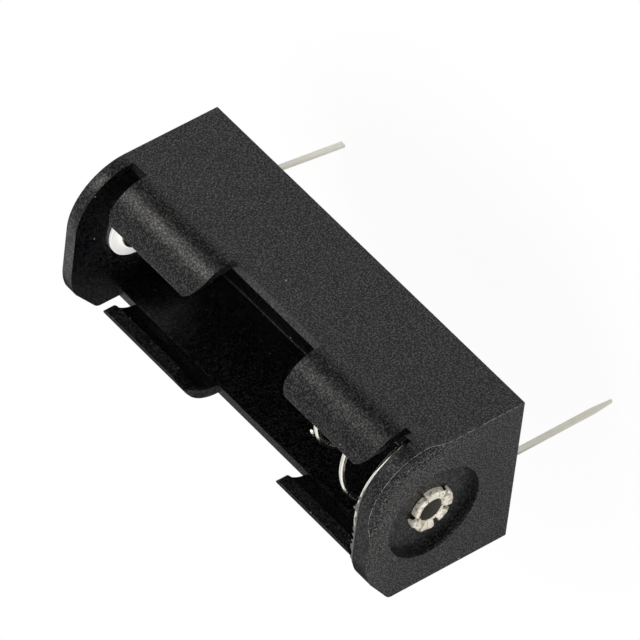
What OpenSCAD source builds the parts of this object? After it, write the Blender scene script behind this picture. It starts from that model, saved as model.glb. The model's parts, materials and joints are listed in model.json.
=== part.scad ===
// Board-mounted holder for one small cylindrical cell. A moulded trough grips the cell with four
// fingers, a conical spring presses on its flat end, and an eyelet head meets its positive end.
// The origin is the centre of the face that seats on the board. +Z points out of the mouth,
// +X towards the spring end, and the terminal pins go down through the board along -Z.

/* [Cell] */
// Diameter of the cell that the bay takes
cell_d = 12; // [11:0.1:13]
// Clearance between the cell and the floor, and between the cell and each side wall
cell_clearance = 0.35; // [0.1:0.05:0.5]

/* [Housing] */
// Length of the bay between the inner faces of the end walls
bay_length = 34.15; // [33:0.05:36]
// Thickness of the end wall at the positive end
positive_wall = 1.1; // [1:0.05:2]
// Thickness of the end wall at the spring end
spring_wall = 1.75; // [1.5:0.05:2.5]
// Thickness of each side wall and of the fingers
side_wall = 0.95; // [0.7:0.05:1.1]
// Thickness of the floor
floor_thickness = 1.5; // [1:0.1:2]
// Height of the end walls above the top of the cell
end_wall_rise = 0.2; // [0:0.05:1]
// Height of the top edge of the side walls above the cell's axis
side_rise = 1.1; // [0.5:0.1:2]
// Width of the rounded edge at the +Y corner of the end wall at the spring end
edge_width = 1; // [0.4:0.1:1.2]
// Depth of that rounded edge
edge_depth = 0.45; // [0.2:0.05:0.6]
// Radius of the curve along which that edge runs out beyond the corner, on the side and on the top
edge_runout_r = 1.5; // [1.2:0.1:4]

/* [Fingers] */
// Outer radius of the bend that turns each finger in over the cell
finger_bend_r = 3.85; // [3.2:0.05:4]
// Angle through which each finger bends
finger_angle = 75; // [50:1:80]
// Length of the finger nearest the positive end on the +Y wall
positive_finger = 10.6; // [8:0.05:12]
// Length of the finger nearest the spring end on the +Y wall
spring_finger = 10.1; // [8:0.05:12]
// How much shorter the fingers on the -Y wall are, at their ends towards the positive end
finger_trim = 0.45; // [0:0.05:0.8]
// Gap between the positive end wall and its fingers
positive_slot = 1.65; // [1:0.05:2.5]
// Gap between the end wall at the spring end and its fingers
spring_slot = 1.25; // [0.8:0.05:2.5]
// Radius of the fingers' free corners towards the positive end
positive_corner_r = 1.7; // [0.8:0.1:2.4]
// Radius of the fingers' free corners towards the spring end
spring_corner_r = 2.7; // [0.8:0.1:2.8]

/* [Eyelets] */
// Radius of the round recess in the outer face of each end wall
recess_r = 4; // [3:0.1:4.5]
// Depth of the recess at the positive end
positive_recess = 0.65; // [0.6:0.05:0.8]
// Depth of the recess at the spring end
spring_recess = 1; // [0.7:0.05:1.2]
// Radius of the hole through each eyelet
eyelet_bore_r = 1.05; // [0.7:0.05:1.1]
// Thickness of the eyelets' metal
eyelet_thickness = 0.3; // [0.2:0.05:0.4]
// Radius of the positive eyelet's head, which meets the cell
positive_head_r = 1.9; // [1.7:0.05:3]
// Radius of the spring eyelet's head
spring_head_r = 2.4; // [2.2:0.05:3]
// Thickness of the eyelet heads
head_thickness = 0.35; // [0.2:0.05:0.6]
// Outer radius of the rolled end of each eyelet
roll_r = 2.15; // [1.8:0.05:2.3]
// Height of the rolled end above the floor of the recess
roll_height = 0.6; // [0.6:0.05:0.8]
// Number of petals that the rolled end splits into
petals = 6; // [4:1:8]
// Width of the splits between the petals at the rim
petal_gap = 0.4; // [0.2:0.05:0.5]
// Turn of the first split about the axis
petal_turn = 40; // [0:5:60]
// Clearance round the eyelets' barrels
eyelet_clearance = 0.05; // [0.02:0.01:0.1]

/* [Terminals] */
// Thickness of the terminals' sheet
terminal_thickness = 0.28; // [0.2:0.02:0.4]
// Radius of the ring tongue under each eyelet head
tongue_r = 2.8; // [2.4:0.05:3.2]
// Width of the strip that runs from the tongue to the floor
strip_width = 2.3; // [1.6:0.1:3]
// Width of each pin, which is folded square from one edge of the strip
pin_width = 0.5; // [0.3:0.05:0.8]
// Length of each pin below the board face
pin_length = 11.2; // [5:0.1:12]
// Length of each pin that stays straight below the board face
pin_straight = 2.2; // [2.2:0.1:4]
// Inward lean of the rest of the positive pin
positive_lean_angle = 7.6; // [0:0.1:10]
// Length of the taper at the tip of the pin at the spring end
pin_taper = 1.8; // [0.5:0.1:2.5]
// Width of that pin at its tip
pin_tip = 0.2; // [0.1:0.05:0.3]
// Clearance round each pin where it passes through the floor
pin_clearance = 0.05; // [0.02:0.01:0.1]

/* [Spring] */
// Diameter of the spring wire
wire_d = 0.5; // [0.3:0.05:0.6]
// Free length of the spring from its seat on the terminal to its tip
spring_length = 10.4; // [7:0.1:12]
// Mean radius of the widest turn, at the seat
seat_turn_r = 5.95; // [4:0.05:5.95]
// Mean radius of the last turn, at the tip
tip_turn_r = 2; // [1.5:0.1:4]
// Open turns between the seat and the tip
open_turns = 1.85; // [1.5:0.05:3]
// How much more the cone flares towards its seat than a straight cone, which is 1
cone_flare = 2; // [1:0.1:2.4]
// How much faster the open turns rise at the seat than evenly, as a share
early_rise = 0.16; // [0:0.02:0.5]
// Lift of the widest turn off the seat before the open turns start
seat_lift = 0.35; // [0:0.05:0.6]
// Clearance between the widest turn and the folded edge of the terminal below it
fold_clearance = 0.2; // [0.1:0.05:0.4]

/* [Hidden] */
$fn = 64;
plastic = [0.17, 0.17, 0.18];
nickel = [0.82, 0.8, 0.74];
tin = [0.76, 0.75, 0.7];
// Overlap that lets a cut run clear of the face it opens
through = 1;

axis_z = floor_thickness + cell_clearance + cell_d / 2;
bay_width = cell_d + 2 * cell_clearance;
body_length = bay_length + positive_wall + spring_wall;
body_width = bay_width + 2 * side_wall;
end_top_z = axis_z + cell_d / 2 + end_wall_rise;
side_top_z = axis_z + side_rise;

// Distances of the end walls' inner faces from the middle
positive_face = body_length / 2 - positive_wall;
spring_face = body_length / 2 - spring_wall;

// The end walls' round top corners start level with the top edge of the side walls
end_corner_r = end_top_z - side_top_z;
corner_y = body_width / 2 - end_corner_r;
corner_z = side_top_z;

// Each finger bends about a line that lies level with the top edge of the side walls
bend_y = body_width / 2 - finger_bend_r;
// The round corners touch a line in plan that lies a little beyond the fingers' tips
tip_margin = 0.2;
corner_line_y = bend_y + (finger_bend_r - side_wall) * cos(finger_angle) - tip_margin;

barrel_r = eyelet_bore_r + eyelet_thickness;
hole_r = barrel_r + eyelet_clearance;
positive_grip = terminal_thickness + positive_wall - positive_recess;
spring_grip = wire_d + terminal_thickness + spring_wall - spring_recess;

// The pins lie along the edge of the strips, and their fold ends below the spring's widest turn
pin_y = (terminal_thickness - strip_width) / 2;
fold_top_z = axis_z - seat_turn_r - wire_d / 2 - fold_clearance;

// Sections of the spring wire: eight flats, of which two lie square to the axis
wire_sides = 8;
wire_corner_r = wire_d / 2 / cos(180 / wire_sides);
wire_step = 12;
// The wire circles the barrel, winds out to the seat turn, lifts off, rises and closes on its last turn
loop_r = hole_r + wire_d / 2;
loop_end = 270;
lift_start = loop_end + 456;
seat_start = loop_end + 486;
rise_start = loop_end + 510;
rise_end = rise_start + 360 * open_turns;
wire_end = rise_end + 330;
closing_rise = 1.15 * wire_d;
open_rise = spring_length - wire_d - seat_lift - closing_rise;

// Extrudes a profile drawn in Y and Z along X, from x0 to x1
module along_x(x0, x1) {
    translate([x0, 0, 0])
        rotate([90, 0, 90])
            linear_extrude(height = x1 - x0)
                children();
}

// Places a part drawn along +Z on the cell's axis, at a distance from the middle towards an end
module on_axis(side, distance) {
    translate([side * distance, 0, axis_z])
        rotate([0, side * 90, 0])
            children();
}

// Outline of an end wall: straight sides, a flat top and large round corners
module end_outline() {
    translate([-body_width / 2, 0])
        square([body_width, corner_z]);
    translate([-corner_y, 0])
        square([2 * corner_y, end_top_z]);
    for (side = [-1, 1])
        translate([side * corner_y, corner_z])
            circle(r = end_corner_r);
}

// Section of what a rounded edge takes off: outwards along x, away from the wall's face along y
module edge_section() {
    edge_r = (edge_width * edge_width + edge_depth * edge_depth) / (2 * edge_depth);
    difference() {
        translate([-edge_width, -edge_r])
            square([edge_width + through, edge_r + through]);
        translate([-edge_width, -edge_r])
            circle(r = edge_r);
    }
}

// The same section where the edge runs out, curved the other way
module runout_section() {
    translate([edge_runout_r, 0])
        mirror([1, 0])
            edge_section();
}

// Ring of such a section about a line along X, kept only inside a box of Y and Z
module edge_ring(centre, box_from, box_size) {
    intersection() {
        translate([body_length / 2, centre[0], centre[1]])
            rotate([0, 90, 0])
                rotate_extrude()
                    children();
        translate([spring_face, box_from[0], box_from[1]])
            cube([spring_wall + 2 * through, box_size[0], box_size[1]]);
    }
}

// What the rounded edge takes off one corner of the spring end wall, with a run-out at each end
module edge_cut() {
    reach = end_corner_r + through;
    runout = edge_runout_r + edge_width;
    edge_ring([corner_y, corner_z], [corner_y, corner_z], [reach, reach])
        translate([end_corner_r, 0])
            edge_section();
    edge_ring([body_width / 2 + edge_runout_r, corner_z], [corner_y, corner_z - runout], [reach, runout])
        runout_section();
    edge_ring([corner_y, end_top_z + edge_runout_r], [corner_y - runout, corner_z], [runout, reach])
        runout_section();
}

// Section of a finger on the +Y wall: an arc that turns in over the cell
module finger_section() {
    reach = 2 * finger_bend_r;
    translate([bend_y, side_top_z])
        intersection() {
            difference() {
                circle(r = finger_bend_r);
                circle(r = finger_bend_r - side_wall);
            }
            polygon([[0, 0], [reach, 0], [reach, reach],
                     [reach * cos(finger_angle), reach * sin(finger_angle)]]);
        }
}

// What a corner of a finger loses in plan: the corner lies at zero, the finger towards +x and +y
module corner_loss(radius) {
    difference() {
        translate([-through, -through])
            square(radius + through);
        translate([radius, radius])
            circle(r = radius);
    }
}

// Plan of a finger from x0 to x1: its two free corners are round
module finger_plan(x0, x1) {
    difference() {
        translate([x0, corner_line_y - through])
            square([x1 - x0, body_width / 2 + 2 * through - corner_line_y]);
        translate([x0, corner_line_y])
            corner_loss(positive_corner_r);
        translate([x1, corner_line_y])
            mirror([1, 0])
                corner_loss(spring_corner_r);
    }
}

// A finger on the +Y wall, from x0 to x1
module finger(x0, x1) {
    intersection() {
        along_x(x0, x1)
            finger_section();
        translate([0, 0, side_top_z - through])
            linear_extrude(height = finger_bend_r + 2 * through)
                finger_plan(x0, x1);
    }
}

// The two fingers of one side wall, drawn on the +Y wall and shortened by a trim
module finger_row(trim) {
    positive_start = -positive_face + positive_slot;
    spring_end = spring_face - spring_slot;
    finger(positive_start + trim, positive_start + positive_finger);
    finger(spring_end - spring_finger + trim, spring_end);
}

// Floor, side walls and end walls as one trough
module trough() {
    difference() {
        translate([-body_length / 2, -body_width / 2, 0])
            cube([body_length, body_width, side_top_z]);
        translate([-positive_face, -bay_width / 2, floor_thickness])
            cube([bay_length, bay_width, side_top_z]);
    }
    along_x(spring_face, body_length / 2)
        end_outline();
    along_x(-body_length / 2, -positive_face)
        end_outline();
}

// Round recess and eyelet hole in the end wall on one side
module eyelet_seat(side, wall, recess_depth) {
    on_axis(side, body_length / 2 - recess_depth)
        cylinder(r = recess_r, h = recess_depth + through);
    on_axis(side, body_length / 2 - wall - through)
        cylinder(r = hole_r, h = wall + through);
}

// Slot in the floor that lets a terminal's pin through
module pin_slot(side, face) {
    length = pin_width + 2 * pin_clearance;
    width = terminal_thickness + 2 * pin_clearance;
    translate([side * (face - pin_width / 2) - length / 2, pin_y - width / 2, -through])
        cube([length, width, floor_thickness + through]);
}

module housing() {
    color(plastic)
        difference() {
            union() {
                trough();
                finger_row(0);
                mirror([0, 1, 0])
                    finger_row(finger_trim);
            }
            edge_cut();
            eyelet_seat(-1, positive_wall, positive_recess);
            eyelet_seat(1, spring_wall, spring_recess);
            pin_slot(-1, positive_face);
            pin_slot(1, spring_face);
        }
}

// Half section of an eyelet: head below zero, barrel through the grip, roll above it
module eyelet_section(head_r, grip) {
    roll_width = roll_r - eyelet_bore_r;
    rim_round = head_thickness / 2;
    translate([eyelet_bore_r, -head_thickness])
        square([head_r - rim_round - eyelet_bore_r, head_thickness]);
    translate([head_r - rim_round, -rim_round])
        circle(r = rim_round);
    translate([eyelet_bore_r, -head_thickness])
        square([eyelet_thickness, head_thickness + grip]);
    translate([eyelet_bore_r, grip])
        intersection() {
            square([roll_width, roll_height]);
            union() {
                translate([0, -roll_width / 2])
                    square([roll_width, roll_height]);
                translate([roll_width / 2, roll_height - roll_width / 2])
                    circle(r = roll_width / 2);
            }
        }
}

// Eyelet along +Z with its head's inner face at zero, its rolled end split into petals
module eyelet(head_r, grip) {
    difference() {
        rotate_extrude()
            eyelet_section(head_r, grip);
        for (i = [0 : petals - 1])
            rotate([0, 0, petal_turn + i * 360 / petals])
                translate([0, 0, grip])
                    linear_extrude(height = roll_height + through)
                        polygon([[hole_r, 0], [roll_r, -petal_gap / 2], [roll_r + through, -petal_gap / 2],
                                 [roll_r + through, petal_gap / 2], [roll_r, petal_gap / 2]]);
    }
}

module positive_eyelet() {
    color(nickel)
        on_axis(-1, positive_face - terminal_thickness)
            eyelet(positive_head_r, positive_grip);
}

module spring_eyelet() {
    color(nickel)
        on_axis(1, spring_face - terminal_thickness - wire_d)
            eyelet(spring_head_r, spring_grip);
}

// Terminal on a +X end wall: ring tongue, strip down to the floor and a pin folded from its edge
module terminal(face, lean, taper, tip) {
    strip_z = axis_z - tongue_r;
    straight_z = -pin_straight;
    taper_z = -pin_length + taper;
    end_z = -pin_length;
    middle = face - pin_width / 2;
    taper_x = middle - (straight_z - taper_z) * tan(lean);
    end_x = middle - (straight_z - end_z) * tan(lean);
    along_x(face - terminal_thickness, face)
        difference() {
            union() {
                translate([0, axis_z])
                    circle(r = tongue_r);
                translate([-strip_width / 2, floor_thickness])
                    square([strip_width, axis_z - floor_thickness]);
            }
            translate([0, axis_z])
                circle(r = hole_r);
        }
    translate([0, pin_y + terminal_thickness / 2, 0])
        rotate([90, 0, 0])
            linear_extrude(height = terminal_thickness)
                polygon([[face, strip_z], [face, straight_z], [taper_x + pin_width / 2, taper_z],
                         [end_x + tip / 2, end_z], [end_x - tip / 2, end_z],
                         [taper_x - pin_width / 2, taper_z], [face - pin_width, straight_z],
                         [face - pin_width, fold_top_z], [face - terminal_thickness, fold_top_z],
                         [face - terminal_thickness, strip_z]]);
}

module positive_terminal() {
    color(tin)
        mirror([1, 0, 0])
            terminal(positive_face, positive_lean_angle, pin_taper, pin_width);
}

module spring_terminal() {
    color(tin)
        terminal(spring_face, 0, pin_taper, pin_tip);
}

// Share of the open turns that is behind the wire at an angle along it
function rise_share(a) =
    a < rise_start ? 0 :
    a < rise_end ? (a - rise_start) / (rise_end - rise_start) :
    1;

// Mean radius of the spring wire at an angle along it
function wire_r(a) =
    a < loop_end ? loop_r :
    a < seat_start ? loop_r + (seat_turn_r - loop_r) * (a - loop_end) / (seat_start - loop_end) :
    tip_turn_r + (seat_turn_r - tip_turn_r) * pow(1 - rise_share(a), cone_flare);

// Distance of the wire's centre from the seat at an angle along it
function wire_rise(a) =
    a < lift_start ? 0 :
    a < rise_start ? seat_lift * (a - lift_start) / (rise_start - lift_start) :
    a < rise_end ? seat_lift + open_rise * rise_share(a) * (1 + early_rise * (1 - rise_share(a))) :
    seat_lift + open_rise + closing_rise * (a - rise_end) / (wire_end - rise_end);

// Corner of the wire's section at an angle along it
function wire_point(a, corner) =
    let (turn = (corner + 0.5) * 360 / wire_sides)
    let (r = wire_r(a) + wire_corner_r * cos(turn))
    [r * cos(a), r * sin(a), wire_d / 2 + wire_rise(a) + wire_corner_r * sin(turn)];

module contact_spring() {
    sections = floor(wire_end / wire_step);
    points = [for (i = [0 : sections], k = [0 : wire_sides - 1]) wire_point(i * wire_step, k)];
    sides = [for (i = [0 : sections - 1], k = [0 : wire_sides - 1])
        let (next = (k + 1) % wire_sides)
        [i * wire_sides + k, i * wire_sides + next, (i + 1) * wire_sides + next, (i + 1) * wire_sides + k]];
    start_cap = [for (k = [0 : wire_sides - 1]) wire_sides - 1 - k];
    end_cap = [for (k = [0 : wire_sides - 1]) sections * wire_sides + k];
    color(nickel)
        translate([spring_face - terminal_thickness, 0, axis_z])
            rotate([0, -90, 0])
                polyhedron(points = points, faces = concat(sides, [start_cap, end_cap]));
}

housing();
positive_eyelet();
positive_terminal();
spring_eyelet();
spring_terminal();
contact_spring();
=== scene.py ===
"""Looks of a small battery holder: grained black moulding, nickel spring and eyelets, tinned pins."""
import json
import math
import random

import bmesh
import bpy
from mathutils import Matrix, Vector

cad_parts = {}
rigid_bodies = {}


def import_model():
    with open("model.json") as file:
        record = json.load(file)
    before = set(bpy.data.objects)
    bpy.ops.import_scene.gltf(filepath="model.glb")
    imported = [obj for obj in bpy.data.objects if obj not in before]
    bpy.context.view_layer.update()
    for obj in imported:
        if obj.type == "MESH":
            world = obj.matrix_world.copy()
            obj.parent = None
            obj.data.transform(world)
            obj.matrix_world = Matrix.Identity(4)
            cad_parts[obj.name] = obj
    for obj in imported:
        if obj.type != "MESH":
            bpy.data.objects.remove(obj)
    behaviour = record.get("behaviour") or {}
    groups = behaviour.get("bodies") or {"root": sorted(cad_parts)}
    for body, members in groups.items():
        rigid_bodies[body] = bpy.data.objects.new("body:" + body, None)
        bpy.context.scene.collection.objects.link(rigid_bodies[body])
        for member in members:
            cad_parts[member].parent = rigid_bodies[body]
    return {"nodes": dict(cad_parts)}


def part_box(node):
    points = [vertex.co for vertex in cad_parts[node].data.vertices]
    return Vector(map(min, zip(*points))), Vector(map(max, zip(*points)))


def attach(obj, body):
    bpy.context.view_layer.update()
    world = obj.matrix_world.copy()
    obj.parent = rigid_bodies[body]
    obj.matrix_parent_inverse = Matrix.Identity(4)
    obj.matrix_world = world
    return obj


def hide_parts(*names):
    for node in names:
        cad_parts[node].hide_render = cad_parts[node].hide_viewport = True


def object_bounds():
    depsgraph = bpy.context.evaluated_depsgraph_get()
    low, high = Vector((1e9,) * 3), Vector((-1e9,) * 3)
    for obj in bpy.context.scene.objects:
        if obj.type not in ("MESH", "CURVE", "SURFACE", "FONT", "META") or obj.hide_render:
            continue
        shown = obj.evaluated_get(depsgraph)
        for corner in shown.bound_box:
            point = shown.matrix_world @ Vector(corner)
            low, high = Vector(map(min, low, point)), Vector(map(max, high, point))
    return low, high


for old in list(bpy.data.objects):
    bpy.data.objects.remove(old)
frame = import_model()
cad_low, cad_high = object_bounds()

MM = 0.001

# Places of the colour sockets in a Mix node, whose sockets for other kinds have the same names
MIX_COLOURS = (6, 7)
MIX_RESULT = 2

# Camera of the photograph: the point at the middle of the frame, the way to the camera
# and the upright of the frame
AIM = Vector((-0.71, 1.45, 3.56)) * MM
VIEW_FROM = Vector((0.49889, 0.72179, 0.47971))
VIEW_UP = Vector((-0.60339, 0.68660, -0.40557))
CAMERA_DISTANCE = 840.1 * MM
SENSOR_WIDTH = 36.0
LENS = 627.35

# Outside of the housing in millimetres, from the frame; the spring is at the +X end
END_FACE, BODY_HALF, END_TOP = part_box("housing")[1] / MM

# Walls of the housing and the places that follow from them, in millimetres
SIDE_WALL = 0.95
SPRING_WALL = 1.75
POSITIVE_WALL = 1.1
FLOOR_TOP = 1.5
SIDE_TOP = 8.95
MIDDLE_CUT = 6.0
BAY_HALF = BODY_HALF - SIDE_WALL
SPRING_FACE = END_FACE - SPRING_WALL
POSITIVE_FACE = POSITIVE_WALL - END_FACE
AXIS_Z = FLOOR_TOP + BAY_HALF

# Round top corners of the end walls, which start level with the tops of the side walls
END_CORNER_R = END_TOP - SIDE_TOP
END_CORNER_Y = BODY_HALF - END_CORNER_R

# Recesses round the rolled ends of the eyelets
RECESS_R = 4.0
SPRING_RECESS = 1.0
POSITIVE_RECESS = 0.65
RECESS_FLOOR = END_FACE - SPRING_RECESS

# Forms of the moulding that the solid lacks: a wider and shallower recess, the sharp -Y corners
# of the end walls with the height of each by its side, and chamfers and rounds in the bay,
# the rounds sunk a little into the walls
RECESS_WIDENED = 4.3
RECESS_RAISE = 0.2
CORNER_FROM_Y = -4.6
CORNER_TOPS = {1: 11.4, -1: 11.1}
CORNER_ROUND = 0.35
TOP_CHAMFER = 0.4
FLOOR_ROUND = 0.25
FLOOR_ROUND_STEPS = 6
SUNK = 0.1

# Slack in millimetres for telling whether a point is on a flat face, on an arc or by a rounded edge
ON_FACE = 0.01
ON_ARC = 0.03
BY_EDGE = 0.1

# Faces of the bay look at the cell's axis: the least cosine for that, and how far the point
# that they look at stays from the end walls, in millimetres
LEAST_FACING = 0.15
BAY_AXIS_INSET = 1.0

# Radius that moulding and stamping leave on the edges of each material, in millimetres
MOULDED_EDGE = 0.10
STAMPED_EDGE = 0.04

# Angle past which an edge is sharp, angle within which faces are one flat face, and the distance
# in millimetres within which points are merged
SHARP_ANGLE = math.radians(28)
FLAT_ANGLE = math.radians(0.2)
MERGE_GAP = 0.0002

# The moulding's edges are worn only on the side that is handled, from this Y on, in millimetres
WORN_FROM_Y = -6.0

# Eyelets in millimetres: a tubular rivet whose head lies on the strip, and at one end on the spring too
STRIP = 0.28
WIRE = 0.5
BORE_R = 1.05
BARREL_R = 1.35
BARREL_END = 0.3
HEAD_THICK = 0.35
HEAD_ROUND = 0.17
LEAD_IN = 0.08
HEAD_STEPS = 48
POSITIVE_HEAD_R = 1.9
SPRING_HEAD_R = 2.4
POSITIVE_GRIP = STRIP + POSITIVE_WALL - POSITIVE_RECESS
SPRING_GRIP = STRIP + WIRE + SPRING_WALL - SPRING_RECESS
SPRING_PETAL_RAISE = 0.3

# Petals in millimetres: the radius past which their reaches differ, and a section that curls out
# of the bore and down to the wall, as radius and height over the wall
PETAL_STEPS = 10
PETAL_ROOT_R = 1.3
PETAL_SECTION = (
    (1.05, 0.10), (1.07, 0.32), (1.15, 0.46), (1.30, 0.52), (1.60, 0.53),
    (1.86, 0.48), (2.04, 0.37), (2.10, 0.20), (2.10, -0.08), (1.94, -0.08),
    (1.90, 0.12), (1.74, 0.24), (1.50, 0.24), (1.34, 0.16), (1.30, 0.04),
)

# Chance in the petals: the slope of their tilt, and from a radius on, how ragged their edges are
# as a share of the radius and in height
PETAL_TILTS = (-0.10, 0.08)
RAGGED_FROM_R = 1.7
RAGGED_OUT = (-0.05, 0.02)
RAGGED_UP = (-0.03, 0.03)

# Petals of each rolled end: the angle and width of the split before each, in degrees,
# and the share of its full reach
POSITIVE_PETALS = (
    (40, 9, 0.96), (100, 8, 1.0), (160, 10, 0.92), (220, 8, 0.97), (280, 11, 0.94), (340, 9, 1.0),
)
SPRING_PETALS = (
    (46, 7, 0.68), (113, 5, 0.38), (180, 15, 0.78), (235, 8, 0.98), (289, 17, 0.92), (344, 17, 1.0),
)

# Flash on the spring end wall's top: its stretch as shares of the top edge, and its reaches in millimetres
FLASH_FROM = 0.27
FLASH_SPAN = 0.40
FLASH_STEPS = 36
FLASH_FADE_STEPS = 3.6
FLASH_INSET = 0.06
FLASH_LIFT = 0.01
FLASH_THICK = 0.04
FLASH_LEAST = 0.05
FLASH_REACHES = (0.0, 0.0, 0.06, 0.14, 0.24)
FLASH_BURR = 0.26
FLASH_BURR_STEPS = (9, 10)
FLASH_SEED = 7
FLASH_MOTTLE = 0.15

# Moulding: grain, mottle, scuffs and dust in millimetres, and its colours
GRAIN_SIZE = 0.14
GRAIN_HEIGHT = 0.010
MOTTLE_SIZE = 2.5
SCUFF_SIZE = 0.5
DUST_SIZE = 0.12
DUST_SPACING = 1.1
DUST_PATCH = 1.7
GROUND_BLACK = (0.0004, 0.0004, 0.0006)
GRAIN_TIP = (0.055, 0.055, 0.054)
# Grain tips in the bay, the slots and the recess wall, darker as painted shade
SHADED_BAY_GRAIN_TIP = (0.026, 0.026, 0.029)
# Paler grain tips on the spring end's face: stronger grain, and a painted reflection towards its top
END_GRAIN_AND_SHEEN_TIP = (0.17, 0.169, 0.163)
# Rubbed edges, and the painted highlight on the +Y wall's top between the fingers
RUBBED_EDGE_AND_HIGHLIGHT = (0.055, 0.054, 0.052)
CHIP_AND_DUST = (0.40, 0.395, 0.37)
FLASH_DARK = (0.05, 0.05, 0.05)
FLASH_PALE = (0.26, 0.257, 0.245)

# Plating: clouds, drawing marks and stains in millimetres, and the colours of stain and of the browner bore
CLOUD_SIZE = 0.9
DRAWN_SIZE = 0.08
DRAWN_HEIGHT = 0.004
STAIN_SIZE = 0.35
STAIN_BROWN = (0.20, 0.135, 0.07)
BORE_BROWN = (0.16, 0.15, 0.13)

# Stage: a round table top, and grey panels in a white tent, each with the way to it, its grey,
# and the two angles from its middle between which it fades, in degrees
FLOOR_RADIUS = 28 * MM
FLOOR_COLOUR = (0.94, 0.94, 0.94, 1.0)
FLOOR_GLOW = 1.04
FLOOR_GLOW_SHARE = 0.85
PANELS = (
    ((0.50, -0.72, -0.48), 0.12, 21, 39),
    ((-0.50, -0.72, 0.48), 0.50, 21, 39),
    ((-0.50, 0.05, 0.86), 0.62, 21, 39),
    ((-0.50, -0.86, 0.00), 0.04, 14, 25),
)

# Dark gap in the tent, in parts of a unit direction: where its foot, its top and its ends fade
GAP_FOOT = (-0.36, -0.26)
GAP_TOP = (0.15, 0.29)
GAP_ENDS = (0.35, 0.65)
GAP_GREY = (0.03, 0.03, 0.03)
WHITE = (1.0, 1.0, 1.0)
WARM_WHITE = (1.0, 0.98, 0.93)


# Materials

def new_material(name):
    """An empty node material and its output."""
    material = bpy.data.materials.new(name)
    material.use_nodes = True
    tree = material.node_tree
    tree.nodes.clear()
    output = tree.nodes.new("ShaderNodeOutputMaterial")
    return material, tree, output


def node(tree, kind, **values):
    """Adds a node and sets its inputs, or its properties where it has no input of that name."""
    made = tree.nodes.new("ShaderNode" + kind)
    for key, value in values.items():
        socket = key.replace("_", " ").title()
        if socket in made.inputs:
            made.inputs[socket].default_value = value
        else:
            setattr(made, key, value)
    return made


def object_place(tree):
    """The point on the piece, in metres."""
    return node(tree, "TexCoord").outputs["Object"]


def face_mark(tree, name):
    """The number that a piece's faces carry under a name."""
    return node(tree, "Attribute", attribute_name=name).outputs["Fac"]


def split(tree, vector):
    """The X, Y and Z of a vector socket."""
    made = node(tree, "SeparateXYZ")
    tree.links.new(vector, made.inputs["Vector"])
    return made.outputs


def noise(tree, coords, size, detail=2.0, roughness=0.5):
    """Noise whose grains are about size across, in metres."""
    made = node(tree, "TexNoise", scale=1.0 / size, detail=detail, roughness=roughness)
    tree.links.new(coords, made.inputs["Vector"])
    return made.outputs["Fac"]


def specks(tree, coords, spacing, size):
    """1 in small round dots, one to a cell of the given spacing, both in metres."""
    made = node(tree, "TexVoronoi", scale=1.0 / spacing)
    tree.links.new(coords, made.inputs["Vector"])
    share = size / spacing
    return remap(tree, made.outputs["Distance"], share * 0.4, share * 0.6, 1.0, 0.0)


def remap(tree, value, low, high, to_low=0.0, to_high=1.0):
    """Maps low..high to to_low..to_high, held at both ends."""
    made = node(tree, "MapRange", from_min=low, from_max=high, to_min=to_low, to_max=to_high)
    tree.links.new(value, made.inputs["Value"])
    return made.outputs["Result"]


def math_node(tree, operation, first, second):
    """One arithmetic step on two sockets or numbers."""
    made = node(tree, "Math", operation=operation)
    for socket, value in zip(made.inputs, (first, second)):
        if isinstance(value, (int, float)):
            socket.default_value = value
        else:
            tree.links.new(value, socket)
    return made.outputs["Value"]


def times(tree, first, second):
    """The product of two sockets or numbers."""
    return math_node(tree, "MULTIPLY", first, second)


def mix_colour(tree, share, first, second):
    """Mixes two colours or colour sockets by a share."""
    made = node(tree, "Mix", data_type="RGBA")
    tree.links.new(share, made.inputs["Factor"])
    for place, value in zip(MIX_COLOURS, (first, second)):
        socket = made.inputs[place]
        if isinstance(value, tuple):
            socket.default_value = (*value, 1.0)
        else:
            tree.links.new(value, socket)
    return made.outputs[MIX_RESULT]


def bump(tree, height, distance, strength):
    """Bump of a height socket, in metres at full height."""
    made = node(tree, "Bump", distance=distance, strength=strength)
    tree.links.new(height, made.inputs["Height"])
    return made.outputs["Normal"]


def principled(tree, output, **values):
    """The surface shader, with its plain values set on its own sockets."""
    shader = tree.nodes.new("ShaderNodeBsdfPrincipled")
    for key, value in values.items():
        shader.inputs[key.replace("_", " ")].default_value = value
    tree.links.new(shader.outputs["BSDF"], output.inputs["Surface"])
    return shader


def end_grain_and_sheen_share(tree, place):
    """How far the grain tips on the spring end's outer face are painted pale: stronger grain all over it,
    and a painted reflection that grows towards its +Y top corner.
    """
    x, y, z = split(tree, place)
    on_end = remap(tree, x, (END_FACE - 0.2) * MM, (END_FACE - 0.05) * MM)
    height = math_node(tree, "ADD", z, times(tree, y, 0.7))
    return times(tree, on_end, remap(tree, height, 6.0 * MM, 15.0 * MM, 0.3, 1.0))


def edge_wear(tree, place):
    """Where the moulding's edges are rubbed and where they are chipped, more so near the spring end; on the
    +Y wall's top between the fingers both are a painted highlight.
    """
    edge = face_mark(tree, "edge")
    scuffs = noise(tree, place, SCUFF_SIZE * MM, detail=4.0, roughness=0.7)
    rubbed_and_highlit = times(tree, edge, remap(tree, scuffs, 0.40, 0.60, 0.15, 0.6))
    near_end = remap(tree, split(tree, place)["X"], (END_FACE - 1.3) * MM, (END_FACE - 0.5) * MM, 0.0, 0.17)
    chips = math_node(tree, "ADD", scuffs, near_end)
    chipped = times(tree, edge, remap(tree, chips, 0.64, 0.68))
    return rubbed_and_highlit, chipped


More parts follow.
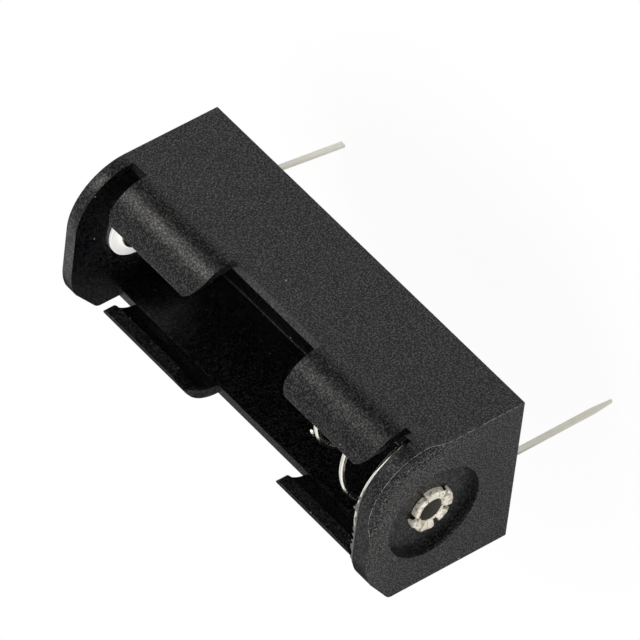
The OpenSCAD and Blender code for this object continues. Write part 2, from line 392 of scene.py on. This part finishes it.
def black_plastic():
    """Matt black moulding: a fine spark-eroded grain, pale wear along its edges and a little dust, with
    painted shade in the bay, a painted highlight on the +Y wall's top and a painted reflection on the
    spring end's face.
    """
    material, tree, output = new_material("black_plastic")
    place = object_place(tree)
    bay = face_mark(tree, "bay")
    grain = noise(tree, place, GRAIN_SIZE * MM, detail=2.0, roughness=0.6)
    glint = remap(tree, grain, 0.45, 0.74)
    mottle = noise(tree, place, MOTTLE_SIZE * MM, detail=3.0)
    rubbed_and_highlit, chipped = edge_wear(tree, place)
    dusty = remap(tree, noise(tree, place, DUST_PATCH * MM), 0.60, 0.64)
    dust = times(tree, specks(tree, place, DUST_SPACING * MM, DUST_SIZE * MM), dusty)

    # The grain's tips are grey on a nearly black ground; they are darker in the bay as painted shade, and
    # paler on the spring end's face as stronger grain with a painted reflection towards its top
    tips = mix_colour(tree, bay, GRAIN_TIP, SHADED_BAY_GRAIN_TIP)
    body = mix_colour(tree, glint, GROUND_BLACK, tips)
    body = mix_colour(tree, times(tree, end_grain_and_sheen_share(tree, place), glint), body, END_GRAIN_AND_SHEEN_TIP)
    # Rubbed edges are wear, and on the +Y wall's top between the fingers a painted highlight
    body = mix_colour(tree, rubbed_and_highlit, body, RUBBED_EDGE_AND_HIGHLIGHT)
    body = mix_colour(tree, math_node(tree, "MAXIMUM", chipped, dust), body, CHIP_AND_DUST)

    # The tips are also glossier; an export that can't carry that keeps the plain level
    shader = principled(tree, output, Specular_IOR_Level=0.38)
    tree.links.new(body, shader.inputs["Base Color"])
    tree.links.new(remap(tree, glint, 0.0, 1.0, 0.24, 0.78), shader.inputs["Specular IOR Level"])
    matt = remap(tree, mottle, 0.3, 0.7, 0.30, 0.38)
    tree.links.new(math_node(tree, "SUBTRACT", matt, times(tree, bay, 0.08)), shader.inputs["Roughness"])
    tree.links.new(bump(tree, grain, GRAIN_HEIGHT * MM, 0.65), shader.inputs["Normal"])
    return material


def flash_plastic():
    """The thin flash of the same moulding, pale where light comes through its edge."""
    material, tree, output = new_material("flash_plastic")
    mottle = noise(tree, object_place(tree), FLASH_MOTTLE * MM, detail=2.0)
    body = mix_colour(tree, mottle, FLASH_DARK, FLASH_PALE)
    shader = principled(tree, output, Specular_IOR_Level=0.28, Roughness=0.45)
    tree.links.new(body, shader.inputs["Base Color"])
    return material


def plated_metal(name, bright, dull, dipped, roughness, metallic=1.0, stain=0.0):
    """Plating with faint clouding and fine drawing marks, and another tone below the board from its dip."""
    material, tree, output = new_material(name)
    place = object_place(tree)
    cloud = noise(tree, place, CLOUD_SIZE * MM, detail=3.0)
    marks = noise(tree, place, DRAWN_SIZE * MM, detail=2.0)
    below_board = remap(tree, split(tree, place)["Z"], 0.0, 0.6 * MM, 1.0, 0.0)
    blotches = noise(tree, place, STAIN_SIZE * MM, detail=4.0, roughness=0.7)
    tone = mix_colour(tree, remap(tree, cloud, 0.35, 0.7), bright, dull)
    tone = mix_colour(tree, below_board, tone, dipped)
    tone = mix_colour(tree, remap(tree, blotches, 0.53, 0.61, 0.0, stain), tone, STAIN_BROWN)
    tone = mix_colour(tree, face_mark(tree, "bore_tone"), tone, BORE_BROWN)
    shader = principled(tree, output, Metallic=metallic)
    tree.links.new(tone, shader.inputs["Base Color"])
    clouded = remap(tree, cloud, 0.3, 0.7, roughness * 0.8, roughness * 1.25)
    tree.links.new(clouded, shader.inputs["Roughness"])
    tree.links.new(bump(tree, marks, DRAWN_HEIGHT * MM, 0.4), shader.inputs["Normal"])
    return material


# Making of pieces

def finished(shape, name, material, node_name=None):
    """Turns a bmesh into a smooth-shaded piece, which stands for a node if one is named."""
    mesh = bpy.data.meshes.new(name)
    shape.to_mesh(mesh)
    shape.free()
    mesh.polygons.foreach_set("use_smooth", [True] * len(mesh.polygons))
    mesh.set_sharp_from_angle(angle=SHARP_ANGLE)
    mesh.materials.append(material)
    piece = bpy.data.objects.new(name, mesh)
    bpy.context.scene.collection.objects.link(piece)
    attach(piece, "root")
    if node_name:
        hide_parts(node_name)
    return piece


def evenly_shaded(piece):
    """Keeps flat faces flat in the shading, beside their rounded edges."""
    normals = piece.modifiers.new("weighted_normals", "WEIGHTED_NORMAL")
    normals.keep_sharp = True


def merged_copy(node_name):
    """A closed copy of a node's mesh."""
    shape = bmesh.new()
    shape.from_mesh(frame["nodes"][node_name].data)
    bmesh.ops.remove_doubles(shape, verts=shape.verts, dist=MERGE_GAP * MM)
    return shape


def flat_copy(node_name):
    """A closed copy of a node's mesh, with the triangles of each flat face joined."""
    shape = merged_copy(node_name)
    bmesh.ops.dissolve_limit(shape, angle_limit=FLAT_ANGLE, verts=shape.verts, edges=shape.edges)
    return shape


def bevelled(shape, edges, offset, segments):
    """Bevels edges by an offset in millimetres and returns the new faces."""
    made = bmesh.ops.bevel(shape, geom=edges, offset=offset * MM, offset_type="OFFSET", segments=segments,
                           profile=0.5, affect="EDGES", clamp_overlap=True, material=-1)
    return made["faces"]


def rounded_edges(shape, radius):
    """Rounds the sharp edges by a radius in millimetres and returns the new faces."""
    sharp = [e for e in shape.edges if len(e.link_faces) == 2 and e.calc_face_angle() > SHARP_ANGLE]
    return bevelled(shape, sharp, radius, segments=2)


def turned(shape, profile, start, sweep, steps):
    """Turns a closed profile of radius and height, in millimetres, about Z; a part turn gets end faces."""
    turn = Matrix.Rotation(start, 3, "Z")
    verts = [shape.verts.new(turn @ Vector((r, 0, z)) * MM) for r, z in profile]
    whole = sweep >= 2 * math.pi
    if whole:
        geom = verts + [shape.edges.new((a, b)) for a, b in zip(verts, verts[1:] + verts[:1])]
    else:
        geom = verts + [shape.faces.new(verts)]
        geom += list(geom[-1].edges)
    bmesh.ops.spin(shape, geom=geom, cent=(0, 0, 0), axis=(0, 0, 1), angle=sweep, steps=steps,
                   use_merge=whole)


# Housing; points are in millimetres

def from_axis(point):
    """Distance of a point from the cell's axis."""
    return math.hypot(point.y, point.z - AXIS_Z)


def on_recess_floor(point):
    """Whether a point lies on the solid's recess floor at the spring end."""
    return abs(point.x - RECESS_FLOOR) < ON_FACE and from_axis(point) < RECESS_R + BY_EDGE


def on_recess_wall(point):
    """Whether a point lies on the solid's round recess wall at the spring end."""
    return point.x > SPRING_FACE and abs(from_axis(point) - RECESS_R) < ON_ARC


def by_widened_wall(point):
    """Whether a point lies on the widened recess wall at the spring end, or on its rounded edges."""
    in_wall = SPRING_FACE < point.x < END_FACE + ON_FACE
    return in_wall and abs(from_axis(point) - RECESS_WIDENED) < BY_EDGE


def on_bay_top(point):
    """Whether a point lies on the inner top edge of a side wall."""
    return abs(abs(point.y) - BAY_HALF) < ON_FACE and abs(point.z - SIDE_TOP) < ON_FACE


def on_end_corner(point):
    """Whether a point lies on an end wall's round -Y corner, past where the sharp one leaves it."""
    in_wall = point.x > SPRING_FACE - ON_FACE or point.x < POSITIVE_FACE + ON_FACE
    in_corner = point.y < CORNER_FROM_Y and point.z > SIDE_TOP - ON_FACE
    radius = math.hypot(point.y + END_CORNER_Y, point.z - SIDE_TOP)
    return in_wall and in_corner and abs(radius - END_CORNER_R) < ON_ARC


def on_worn_edge(point):
    """Whether a rounded edge is worn there: on the handled side, but not round the spring end's top."""
    on_end = point.x > END_FACE - 1.2 * MOULDED_EDGE
    round_top = on_end and point.z > SIDE_TOP and point.y < BODY_HALF - 1.5 * MOULDED_EDGE
    return point.y > WORN_FROM_Y and not round_top


def faces_bay(face):
    """Whether a face looks at the bay's middle line from inside."""
    centre = face.calc_center_median() / MM
    along = POSITIVE_FACE - BY_EDGE < centre.x < SPRING_FACE + BY_EDGE
    across = abs(centre.y) < BAY_HALF + BY_EDGE
    middle_x = min(max(centre.x, POSITIVE_FACE + BAY_AXIS_INSET), SPRING_FACE - BAY_AXIS_INSET)
    inwards = (Vector((middle_x, 0, AXIS_Z)) - centre).normalized()
    return along and across and face.normal.dot(inwards) > LEAST_FACING


def square_corners(shape):
    """Gives each end wall its sharp -Y corner in place of the solid's round one."""
    from_z = SIDE_TOP + math.sqrt(END_CORNER_R ** 2 - (CORNER_FROM_Y + END_CORNER_Y) ** 2)
    for side, top in CORNER_TOPS.items():
        # The arc's points nearest the corner's height move to it, those below go straight up the side,
        # and those above lie in line to the top
        arc = [v for v in shape.verts if v.co.x * side > 0 and on_end_corner(v.co / MM)]
        nearest = min((v.co.z for v in arc), key=lambda z: abs(z - top * MM))
        corner = [v for v in arc if abs(v.co.z - nearest) < ON_FACE * MM]
        for vert in corner:
            vert.co.z = top * MM
        for vert in arc:
            rise = max(0.0, vert.co.z / MM - top) / (from_z - top)
            vert.co.y = (-BODY_HALF + (CORNER_FROM_Y + BODY_HALF) * rise) * MM
        edges = [e for e in shape.edges if all(v in corner for v in e.verts)]
        bevelled(shape, edges, CORNER_ROUND, segments=3)


def widen_recess(shape):
    """Makes the recess at the spring end wider and shallower than the solid's."""
    bottom = [v for v in shape.verts if on_recess_floor(v.co / MM)]
    wall = [v for v in shape.verts if on_recess_wall(v.co / MM)]
    bmesh.ops.translate(shape, vec=(RECESS_RAISE * MM, 0, 0), verts=bottom)
    wider = RECESS_WIDENED / RECESS_R
    about_axis = Matrix.Translation((0, 0, -AXIS_Z * MM))
    bmesh.ops.scale(shape, vec=(1, wider, wider), space=about_axis, verts=wall)


def mark_finish(shape, rounded):
    """Marks worn edges for the finish, and the smoother faces of the bay and the recess wall, which also
    get painted shade.
    """
    edge = shape.faces.layers.float["edge"]
    bay = shape.faces.layers.float["bay"]
    for face in rounded:
        face[edge] = float(on_worn_edge(face.calc_center_median() / MM))
    for face in shape.faces:
        centre = face.calc_center_median() / MM
        # The widened recess wall loses its edge wear and gets the bay's painted shade
        if all(by_widened_wall(v.co / MM) for v in face.verts):
            face[edge] = 0.0
            face[bay] = 1.0
        elif faces_bay(face):
            face[bay] = 1.0
        # The +Y wall's top gets a painted highlight between the fingers, drawn as rubbed and chipped edge,
        # and painted shade in the slots beside them
        if abs(centre.z - SIDE_TOP) < 2 * ON_FACE and centre.y > BAY_HALF:
            between_fingers = abs(centre.x) < MIDDLE_CUT
            face[edge] = float(between_fingers)
            face[bay] = float(not between_fingers)


def housing_moulding(material):
    """Stands for the housing, with its last forms cut, its edges rounded and its finish marked."""
    shape = flat_copy("housing")
    for name in ("edge", "bay"):
        shape.faces.layers.float.new(name)
    square_corners(shape)
    widen_recess(shape)
    bay_tops = [e for e in shape.edges if all(on_bay_top(v.co / MM) for v in e.verts)]
    bevelled(shape, bay_tops, TOP_CHAMFER, segments=1)
    mark_finish(shape, rounded_edges(shape, MOULDED_EDGE))
    evenly_shaded(finished(shape, "housing_moulding", material, "housing"))


def floor_round(side, name, material):
    """The concave round that the mould leaves where a side wall meets the floor of the bay."""
    shape = bmesh.new()
    y = BAY_HALF - FLOOR_ROUND
    z = FLOOR_TOP + FLOOR_ROUND
    turns = [i * math.pi / 2 / FLOOR_ROUND_STEPS for i in range(FLOOR_ROUND_STEPS + 1)]
    section = [(y + FLOOR_ROUND * math.sin(t), z - FLOOR_ROUND * math.cos(t)) for t in turns]
    section += [(BAY_HALF + SUNK, z), (BAY_HALF + SUNK, FLOOR_TOP - SUNK), (y, FLOOR_TOP - SUNK)]
    places = [Vector((POSITIVE_FACE - SUNK, side * across, height)) for across, height in section]
    outline = [shape.verts.new(place * MM) for place in places]
    made = bmesh.ops.extrude_face_region(shape, geom=[shape.faces.new(outline)])
    far_end = [v for v in made["geom"] if isinstance(v, bmesh.types.BMVert)]
    length = SPRING_FACE - POSITIVE_FACE + 2 * SUNK
    bmesh.ops.translate(shape, verts=far_end, vec=Vector((length, 0, 0)) * MM)
    # The rounds carry the bay's mark, and so its painted shade
    bay = shape.faces.layers.float.new("bay")
    for face in shape.faces:
        face[bay] = 1.0
    bmesh.ops.recalc_face_normals(shape, faces=shape.faces)
    finished(shape, name, material)


def top_edge_point(share, lift):
    """Y and Z on the spring end wall's top edge, from its +Y corner (0) to its -Y corner (1)."""
    quarter = END_CORNER_R * math.pi / 2
    travel = share * (2 * quarter + 2 * END_CORNER_Y)
    if travel < quarter:
        turn = travel / END_CORNER_R
        centre = END_CORNER_Y
    elif travel > quarter + 2 * END_CORNER_Y:
        turn = (travel - 2 * END_CORNER_Y) / END_CORNER_R
        centre = -END_CORNER_Y
    else:
        turn = math.pi / 2
        centre = END_CORNER_Y - (travel - quarter)
    reach = END_CORNER_R + lift
    return centre + reach * math.cos(turn), SIDE_TOP + reach * math.sin(turn)


def rim_flash(material):
    """Ragged lip of flash along the inner edge of the spring end wall's top, where the mould halves met."""
    chance = random.Random(FLASH_SEED)
    shape = bmesh.new()
    shares = [FLASH_FROM + FLASH_SPAN * i / FLASH_STEPS for i in range(FLASH_STEPS + 1)]
    places = [Vector((SPRING_FACE + FLASH_INSET, *top_edge_point(share, FLASH_LIFT))) for share in shares]
    root = [shape.verts.new(place * MM) for place in places]
    line = [shape.edges.new(pair) for pair in zip(root, root[1:])]
    lip = bmesh.ops.extrude_edge_only(shape, edges=line)["geom"]
    tips = sorted((v for v in lip if isinstance(v, bmesh.types.BMVert)), key=lambda v: -v.co.y)
    for i, tip in enumerate(tips):
        fade = min(1.0, i / FLASH_FADE_STEPS, (FLASH_STEPS - i) / FLASH_FADE_STEPS)
        burr = FLASH_BURR if i in FLASH_BURR_STEPS else 0.0
        reach = FLASH_LEAST + chance.choice(FLASH_REACHES) + burr
        tip.co.x -= (FLASH_INSET + reach * fade) * MM
    bmesh.ops.recalc_face_normals(shape, faces=shape.faces)
    bmesh.ops.solidify(shape, geom=shape.faces, thickness=FLASH_THICK * MM)
    finished(shape, "rim_flash", material)


# Metal pieces

def stamped_strip(node_name, name, material):
    """Stands for a terminal: the same strip with its stamped edges broken."""
    shape = flat_copy(node_name)
    rounded_edges(shape, STAMPED_EDGE)
    evenly_shaded(finished(shape, name, material, node_name))


def coil_wire(material):
    """Stands for the spring: the node's eight-sided sweep, made round."""
    shape = merged_copy("contact_spring")
    bmesh.ops.join_triangles(shape, faces=shape.faces, angle_face_threshold=math.pi,
                             angle_shape_threshold=math.pi, cmp_seam=False, cmp_sharp=False, cmp_uvs=False,
                             cmp_vcols=False, cmp_materials=False)
    piece = finished(shape, "coil_wire", material, "contact_spring")
    smooth = piece.modifiers.new("round", "SUBSURF")
    smooth.levels = smooth.render_levels = 2


def turn_head(shape, head_r, grip, bore_tone):
    """Turns an eyelet's barrel and round-edged head about Z, its seat at 0, with its bore marked browner.
    """
    section = [(BORE_R, grip + BARREL_END), (BORE_R, LEAD_IN - HEAD_THICK), (BORE_R + LEAD_IN, -HEAD_THICK)]
    for degrees in (-90, -45, 0, 45, 90):
        turn = math.radians(degrees)
        section.append((head_r - HEAD_ROUND * (1 - math.cos(turn)), HEAD_THICK / 2 * (math.sin(turn) - 1)))
    section += [(BARREL_R, 0), (BARREL_R, grip + BARREL_END)]
    turned(shape, section, 0, 2 * math.pi, HEAD_STEPS)
    bmesh.ops.remove_doubles(shape, verts=shape.verts, dist=MERGE_GAP * MM)
    bore_mark = shape.faces.layers.float["bore_tone"]
    for face in shape.faces:
        if all(v.co.xy.length < (BORE_R + ON_FACE) * MM for v in face.verts):
            face[bore_mark] = bore_tone


def turn_petals(shape, grip, petals, chance):
    """Turns the petals of an eyelet's rolled end, each with its own width, reach and tilt."""
    for (angle, width, reach), (next_angle, next_width, _) in zip(petals, petals[1:] + petals[:1]):
        start = angle + width / 2
        sweep = (next_angle - next_width / 2 - start) % 360
        tilt = chance.uniform(*PETAL_TILTS)
        section = []
        for r, z in PETAL_SECTION:
            out = max(r - PETAL_ROOT_R, 0)
            section.append((min(r, PETAL_ROOT_R) + out * reach, grip + z + tilt * out))
        turned(shape, section, math.radians(start), math.radians(sweep), PETAL_STEPS)


def rivet(node_name, name, side, head_x, head_r, grip, petals, seed, material, bore_tone=0.0):
    """Stands for an eyelet: turned head and barrel, and a rolled end split into uneven ragged petals."""
    chance = random.Random(seed)
    shape = bmesh.new()
    shape.faces.layers.float.new("bore_tone")
    turn_head(shape, head_r, grip, bore_tone)
    turn_petals(shape, grip, petals, chance)
    for vert in shape.verts:
        if vert.co.xy.length > RAGGED_FROM_R * MM and vert.co.z > grip * MM:
            vert.co.xy *= 1 + chance.uniform(*RAGGED_OUT)
            vert.co.z += chance.uniform(*RAGGED_UP) * MM
    bmesh.ops.recalc_face_normals(shape, faces=shape.faces)
    seat = Matrix.Translation(Vector((head_x, 0, AXIS_Z)) * MM)
    outwards = Matrix.Rotation(side * math.pi / 2, 4, "Y")
    bmesh.ops.transform(shape, matrix=seat @ outwards, verts=shape.verts)
    finished(shape, name, material, node_name)


# Stage

def turned_to(back, right):
    """The turn of a thing that looks along -back, with its width along right."""
    back = Vector(back).normalized()
    right = (Vector(right) - back * back.dot(Vector(right))).normalized()
    return Matrix((right, back.cross(right), back)).transposed().to_4x4()


def add_camera():
    """The photograph's long-lens camera."""
    data = bpy.data.cameras.new("camera")
    data.sensor_width = SENSOR_WIDTH
    data.lens = LENS
    data.clip_start = CAMERA_DISTANCE * 0.1
    data.clip_end = CAMERA_DISTANCE * 10
    camera = bpy.data.objects.new("camera", data)
    back = VIEW_FROM.normalized()
    place = Matrix.Translation(AIM + back * CAMERA_DISTANCE)
    camera.matrix_world = place @ turned_to(back, VIEW_UP.cross(back))
    bpy.context.scene.collection.objects.link(camera)
    bpy.context.scene.camera = camera


def add_lamp(name, data, target, toward, distance):
    """Hangs a lamp that faces a point, in millimetres, from a direction."""
    lamp = bpy.data.objects.new(name, data)
    back = Vector(toward).normalized()
    place = Matrix.Translation(Vector(target) * MM + back * distance)
    lamp.matrix_world = place @ turned_to(back, (1, 0, 0))
    bpy.context.scene.collection.objects.link(lamp)


def add_softbox(name, target, toward, distance, width, height, radiance, colour=WHITE):
    """A rectangular lamp with its width along X."""
    data = bpy.data.lights.new(name, "AREA")
    data.shape = "RECTANGLE"
    data.size = width
    data.size_y = height
    data.energy = radiance * math.pi * width * height
    data.color = colour
    add_lamp(name, data, target, toward, distance)


def add_snoot(name, target, toward, distance, radius, irradiance):
    """A narrow lamp that lights a round patch of the given radius."""
    data = bpy.data.lights.new(name, "SPOT")
    data.spot_size = 2 * math.atan2(radius, distance)
    data.spot_blend = 0.5
    data.shadow_soft_size = radius
    data.energy = irradiance * 4 * math.pi * distance * distance
    add_lamp(name, data, target, toward, distance)


def add_lamps():
    """Soft boxes for the fingers, the spring end and the far rim, and narrow lamps for the two contacts."""
    add_softbox("finger_box", (-10, 6.7, 11), (-0.53, 0.70, 0.48), distance=75 * MM,
                width=34 * MM, height=26 * MM, radiance=4.0, colour=WARM_WHITE)
    add_softbox("end_box", (END_FACE, 2, 11), (0.50, -0.72, -0.48), distance=44 * MM,
                width=26 * MM, height=26 * MM, radiance=0.33)
    add_snoot("contact_snoot", (POSITIVE_FACE, 0, AXIS_Z), (0.78, 0.05, 0.62), distance=120 * MM,
              radius=3.4 * MM, irradiance=4.4)
    add_snoot("eyelet_snoot", (END_FACE, 0, AXIS_Z), (0.85, 0.45, 0.30), distance=120 * MM,
              radius=2.4 * MM, irradiance=1.0)
    add_softbox("rim_fill", (-18, 0, 14), (-0.50, -0.72, 0.48), distance=60 * MM,
                width=36 * MM, height=36 * MM, radiance=0.6)


def seen_directly(tree):
    """1 for rays that show the background itself: camera, glossy and transmission rays."""
    path = node(tree, "LightPath")
    glossy = math_node(tree, "MAXIMUM", path.outputs["Is Camera Ray"], path.outputs["Is Glossy Ray"])
    return math_node(tree, "MAXIMUM", glossy, path.outputs["Is Transmission Ray"])


def add_floor():
    """A pale round table top under the pins that stays white and keeps a soft shadow."""
    material, tree, output = new_material("pale_table")
    paper = node(tree, "BsdfDiffuse", color=FLOOR_COLOUR)
    glow = node(tree, "Emission", color=(*WHITE, 1.0), strength=FLOOR_GLOW)
    mixed = node(tree, "MixShader")
    tree.links.new(times(tree, seen_directly(tree), FLOOR_GLOW_SHARE), mixed.inputs["Fac"])
    tree.links.new(paper.outputs["BSDF"], mixed.inputs[1])
    tree.links.new(glow.outputs["Emission"], mixed.inputs[2])
    tree.links.new(mixed.outputs["Shader"], output.inputs["Surface"])
    shape = bmesh.new()
    bmesh.ops.create_circle(shape, cap_ends=True, segments=96, radius=FLOOR_RADIUS,
                            matrix=Matrix.Translation((0, 0, cad_low.z)))
    mesh = bpy.data.meshes.new("floor")
    shape.to_mesh(mesh)
    shape.free()
    mesh.materials.append(material)
    floor = bpy.data.objects.new("floor", mesh)
    bpy.context.scene.collection.objects.link(floor)


def panel_at(tree, direction, way, inner, outer):
    """1 about one direction of the world, fading to 0 between two angles in degrees."""
    made = node(tree, "VectorMath", operation="DOT_PRODUCT")
    made.inputs[1].default_value = Vector(way).normalized()
    tree.links.new(direction, made.inputs[0])
    edge = math.cos(math.radians(outer))
    middle = math.cos(math.radians(inner))
    return remap(tree, made.outputs["Value"], edge, middle)


def add_world():
    """A white tent, which is also the background, with a dark gap along its +Y side and grey panels."""
    world = bpy.data.worlds.new("studio")
    bpy.context.scene.world = world
    world.use_nodes = True
    tree = world.node_tree
    tree.nodes.clear()
    output = node(tree, "OutputWorld")
    direction = node(tree, "TexCoord").outputs["Generated"]
    _, y, z = split(tree, direction)
    above = remap(tree, z, *GAP_FOOT)
    below = remap(tree, z, *GAP_TOP, 1.0, 0.0)
    gap = times(tree, times(tree, above, below), remap(tree, y, *GAP_ENDS))
    tone = mix_colour(tree, gap, WHITE, GAP_GREY)
    for way, grey, inner, outer in PANELS:
        tone = mix_colour(tree, panel_at(tree, direction, way, inner, outer), tone, (grey, grey, grey))
    tent = node(tree, "Background")
    tree.links.new(tone, tent.inputs["Color"])
    tree.links.new(tent.outputs["Background"], output.inputs["Surface"])


plastic = black_plastic()
flash = flash_plastic()
nickel = plated_metal("eyelet_nickel", bright=(0.93, 0.89, 0.78), dull=(0.80, 0.75, 0.62),
                      dipped=(0.80, 0.75, 0.62), roughness=0.22)
stained = plated_metal("stained_nickel", bright=(0.99, 0.95, 0.83), dull=(0.94, 0.88, 0.73),
                       dipped=(0.80, 0.75, 0.62), roughness=0.25, metallic=0.35, stain=0.8)
wire = plated_metal("spring_nickel", bright=(0.95, 0.93, 0.86), dull=(0.86, 0.83, 0.74),
                    dipped=(0.86, 0.83, 0.74), roughness=0.2)
tin = plated_metal("terminal_tin", bright=(0.80, 0.79, 0.72), dull=(0.68, 0.67, 0.60),
                   dipped=(0.58, 0.57, 0.49), roughness=0.35)
bright_tin = plated_metal("contact_tin", bright=(0.95, 0.94, 0.92), dull=(0.90, 0.89, 0.86),
                          dipped=(0.88, 0.86, 0.76), roughness=0.5, metallic=0.1)

housing_moulding(plastic)
rivet("positive_eyelet", "positive_rivet", side=-1, head_x=POSITIVE_FACE + STRIP, head_r=POSITIVE_HEAD_R,
      grip=POSITIVE_GRIP, petals=POSITIVE_PETALS, seed=3, material=nickel)
rivet("spring_eyelet", "spring_rivet", side=1, head_x=SPRING_FACE - STRIP - WIRE, head_r=SPRING_HEAD_R,
      grip=SPRING_GRIP + SPRING_PETAL_RAISE, petals=SPRING_PETALS, seed=5, material=stained, bore_tone=1.0)
stamped_strip("positive_terminal", "positive_strip", bright_tin)
stamped_strip("spring_terminal", "spring_strip", tin)
coil_wire(wire)
rim_flash(flash)
floor_round(1, "floor_round_a", plastic)
floor_round(-1, "floor_round_b", plastic)

add_camera()
add_world()
add_floor()
add_lamps()

bpy.context.scene.view_settings.view_transform = "Standard"
